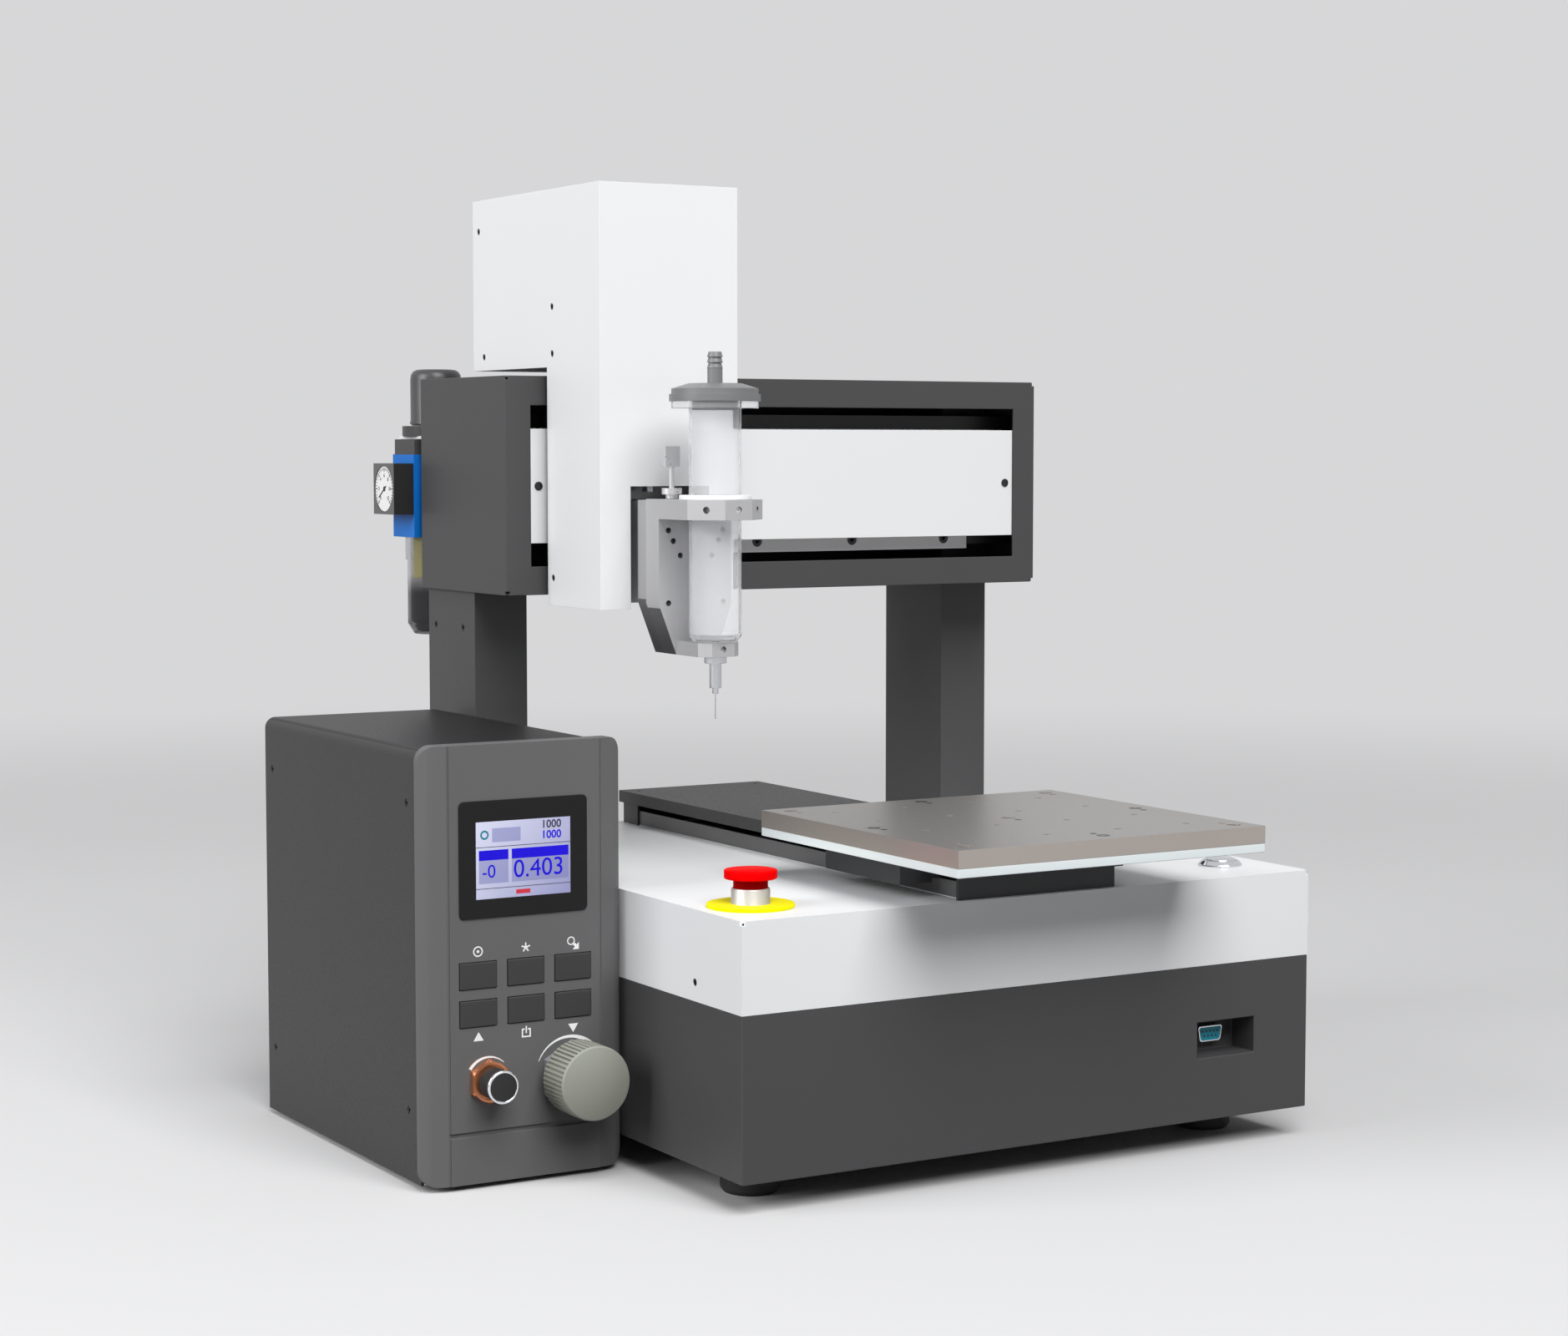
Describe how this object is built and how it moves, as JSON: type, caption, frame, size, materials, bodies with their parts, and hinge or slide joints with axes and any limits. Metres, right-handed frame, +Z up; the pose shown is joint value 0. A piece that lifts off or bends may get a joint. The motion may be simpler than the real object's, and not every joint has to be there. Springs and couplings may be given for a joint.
{
  "type": "desktop dispensing robot",
  "caption": "Gantry robot with a moving work table, a syringe on a lifting head, an emergency stop, a filter regulator and a separate dispensing controller with keys and knobs.",
  "frame": {"origin": "on the bench, under the middle of the whole object's box at rest", "axes": "+X to the right and +Y to the back as the robot is operated, +Z up"},
  "size_m": [0.517, 0.53, 0.569],
  "materials": {
    "grey_paint": "fine satin",
    "white_paint": "satin",
    "black_rubber": "matt",
    "satin_aluminium": "satin",
    "dark_aluminium": "black anodised",
    "pale_aluminium": "clear anodised",
    "table_aluminium": "milled",
    "rail_steel": "ground",
    "motor_black": "matt",
    "port_plastic": "matt",
    "yellow_plastic": "gloss",
    "red_plastic": "gloss",
    "dark_red_plastic": "matt",
    "chrome": "polished",
    "white_plastic": "matt",
    "clear_plastic": "clear",
    "grey_plastic": "matt",
    "needle_steel": "satin",
    "blue_paint": "gloss",
    "black_plastic": "matt",
    "bowl_plastic": "clear",
    "element_plastic": "matt",
    "panel_plastic": "fine texture",
    "display_plastic": "gloss",
    "key_rubber": "matt",
    "knob_plastic": "matt"
  },
  "bodies": {
    "base": {"lower_housing": "grey_paint", "top_cover": "white_paint", "rubber_feet": "black_rubber", "chassis_plate": "satin_aluminium", "columns": "grey_paint", "base_electronics": "port_plastic", "estop_base": "yellow_plastic", "start_bezel": "chrome", "guide_rails": "rail_steel", "y_dust_cover": "grey_paint", "drive_motors": "motor_black", "timing_belts": "black_rubber", "gantry_cover": "grey_paint", "gantry_rear_panel": "grey_paint", "gantry_beam": "satin_aluminium", "x_panel": "white_paint", "regulator_bracket": "white_paint", "regulator_body": "blue_paint", "pressure_gauge": "black_plastic", "filter_bowl": "bowl_plastic", "filter_element": "element_plastic", "controller_cover": "grey_paint", "controller_panel": "panel_plastic", "controller_chassis": "satin_aluminium", "panel_regulator": "satin_aluminium", "display_window": "display_plastic"},
    "work_table": {"y_carriage": "dark_aluminium", "table_lower_plate": "pale_aluminium", "table_top_plate": "table_aluminium"},
    "head": {"x_carriage": "satin_aluminium", "head_frame": "satin_aluminium", "head_cover": "white_paint", "z_guide_blocks": "rail_steel", "z_motor": "motor_black", "z_belt": "black_rubber"},
    "lift": {"z_slide": "satin_aluminium", "syringe_bracket": "satin_aluminium", "holder_ring": "white_plastic", "syringe_barrel": "clear_plastic", "syringe_cap": "grey_plastic", "dispensing_needle": "needle_steel"},
    "y_drive": {"y_drive_pulley": "satin_aluminium"},
    "y_idler": {"y_idler_pulley": "satin_aluminium"},
    "x_drive": {"x_drive_pulley": "satin_aluminium"},
    "x_idler": {"x_idler_pulley": "satin_aluminium"},
    "lead_screw": {"z_screw": "rail_steel"},
    "z_drive": {"z_motor_pulley": "satin_aluminium"},
    "clamp_screw": {"thumb_screw": "rail_steel"},
    "stop_plunger": {"estop_plunger": "dark_red_plastic"},
    "stop_button": {"estop_head": "red_plastic"},
    "start": {"start_button": "chrome"},
    "air_knob": {"regulator_knob": "black_plastic"},
    "small_knob": {"timer_knob": "black_plastic"},
    "large_knob": {"pressure_knob": "knob_plastic"},
    "button_1": {"key_1": "key_rubber"},
    "button_2": {"key_2": "key_rubber"},
    "button_3": {"key_3": "key_rubber"},
    "button_4": {"key_4": "key_rubber"},
    "button_5": {"key_5": "key_rubber"},
    "button_6": {"key_6": "key_rubber"}
  },
  "joints": [
    {"name": "table_travel", "type": "slide", "parent": "base", "child": "work_table", "axis": [0, 1, 0], "range_m": [-0.01, 0.22]},
    {"name": "head_travel", "type": "slide", "parent": "base", "child": "head", "axis": [1, 0, 0], "range_m": [-0.005, 0.235]},
    {"name": "lift_travel", "type": "slide", "parent": "head", "child": "lift", "axis": [0, 0, 1], "range_m": [-0.05, 0]},
    {"name": "y_drive_turn", "type": "hinge", "parent": "base", "child": "y_drive", "pos_m": [0.0625, 0.185, 0.124], "axis": [0, 0, 1], "range_deg": [-2000, 100]},
    {"name": "y_idler_turn", "type": "hinge", "parent": "base", "child": "y_idler", "pos_m": [0.0625, -0.177, 0.124], "axis": [0, 0, 1], "range_deg": [-2000, 100]},
    {"name": "x_drive_turn", "type": "hinge", "parent": "base", "child": "x_drive", "pos_m": [0.1955, 0.111, 0.395], "axis": [0, 1, 0], "range_deg": [-60, 2130]},
    {"name": "x_idler_turn", "type": "hinge", "parent": "base", "child": "x_idler", "pos_m": [-0.1025, 0.111, 0.395], "axis": [0, 1, 0], "range_deg": [-60, 2130]},
    {"name": "lead_screw_turn", "type": "hinge", "parent": "head", "child": "lead_screw", "pos_m": [-0.0605, 0.045, 0.468], "axis": [0, 0, 1], "range_deg": [-1810, 10]},
    {"name": "z_drive_turn", "type": "hinge", "parent": "head", "child": "z_drive", "pos_m": [-0.0605, 0.135, 0.529], "axis": [0, 0, 1], "range_deg": [-1810, 10]},
    {"name": "clamp_screw_turn", "type": "hinge", "parent": "lift", "child": "clamp_screw", "pos_m": [-0.0725, -0.0068, 0.3825], "axis": [0, 0, 1], "range_deg": [-180, 180]},
    {"name": "stop_press", "type": "slide", "parent": "base", "child": "stop_plunger", "axis": [0, 0, 1], "range_m": [-0.004, 0]},
    {"name": "stop_twist", "type": "hinge", "parent": "stop_plunger", "child": "stop_button", "pos_m": [-0.1015, -0.1505, 0.178], "axis": [0, 0, 1], "range_deg": [0, 30]},
    {"name": "start_press", "type": "slide", "parent": "base", "child": "start", "axis": [0, 0, 1], "range_m": [-0.0018, 0], "stiffness_N_per_m": 800, "springref_m": 0.001},
    {"name": "air_knob_turn", "type": "hinge", "parent": "base", "child": "air_knob", "pos_m": [-0.1125, 0.243, 0.446], "axis": [0, 0, 1], "range_deg": [-720, 720]},
    {"name": "small_knob_turn", "type": "hinge", "parent": "base", "child": "small_knob", "pos_m": [-0.21965, -0.08, 0.06051], "axis": [0, 1, 0], "range_deg": [-270, 0]},
    {"name": "large_knob_turn", "type": "hinge", "parent": "base", "child": "large_knob", "pos_m": [-0.16805, -0.082, 0.05891], "axis": [0, 1, 0], "range_deg": [-720, 720]},
    {"name": "button_1_press", "type": "slide", "parent": "base", "child": "button_1", "axis": [0, 1, 0], "range_m": [0, 0.0007], "stiffness_N_per_m": 800, "springref_m": -0.001},
    {"name": "button_2_press", "type": "slide", "parent": "base", "child": "button_2", "axis": [0, 1, 0], "range_m": [0, 0.0007], "stiffness_N_per_m": 800, "springref_m": -0.001},
    {"name": "button_3_press", "type": "slide", "parent": "base", "child": "button_3", "axis": [0, 1, 0], "range_m": [0, 0.0007], "stiffness_N_per_m": 800, "springref_m": -0.001},
    {"name": "button_4_press", "type": "slide", "parent": "base", "child": "button_4", "axis": [0, 1, 0], "range_m": [0, 0.0007], "stiffness_N_per_m": 800, "springref_m": -0.001},
    {"name": "button_5_press", "type": "slide", "parent": "base", "child": "button_5", "axis": [0, 1, 0], "range_m": [0, 0.0007], "stiffness_N_per_m": 800, "springref_m": -0.001},
    {"name": "button_6_press", "type": "slide", "parent": "base", "child": "button_6", "axis": [0, 1, 0], "range_m": [0, 0.0007], "stiffness_N_per_m": 800, "springref_m": -0.001}
  ],
  "couplings": [
    {"joint": "y_drive_turn", "follows": "table_travel", "rad_per_m": -157.08},
    {"joint": "y_idler_turn", "follows": "table_travel", "rad_per_m": -157.08},
    {"joint": "x_drive_turn", "follows": "head_travel", "rad_per_m": 157.08},
    {"joint": "x_idler_turn", "follows": "head_travel", "rad_per_m": 157.08},
    {"joint": "lead_screw_turn", "follows": "lift_travel", "rad_per_m": 628.32},
    {"joint": "z_drive_turn", "follows": "lift_travel", "rad_per_m": 628.32}
  ]
}
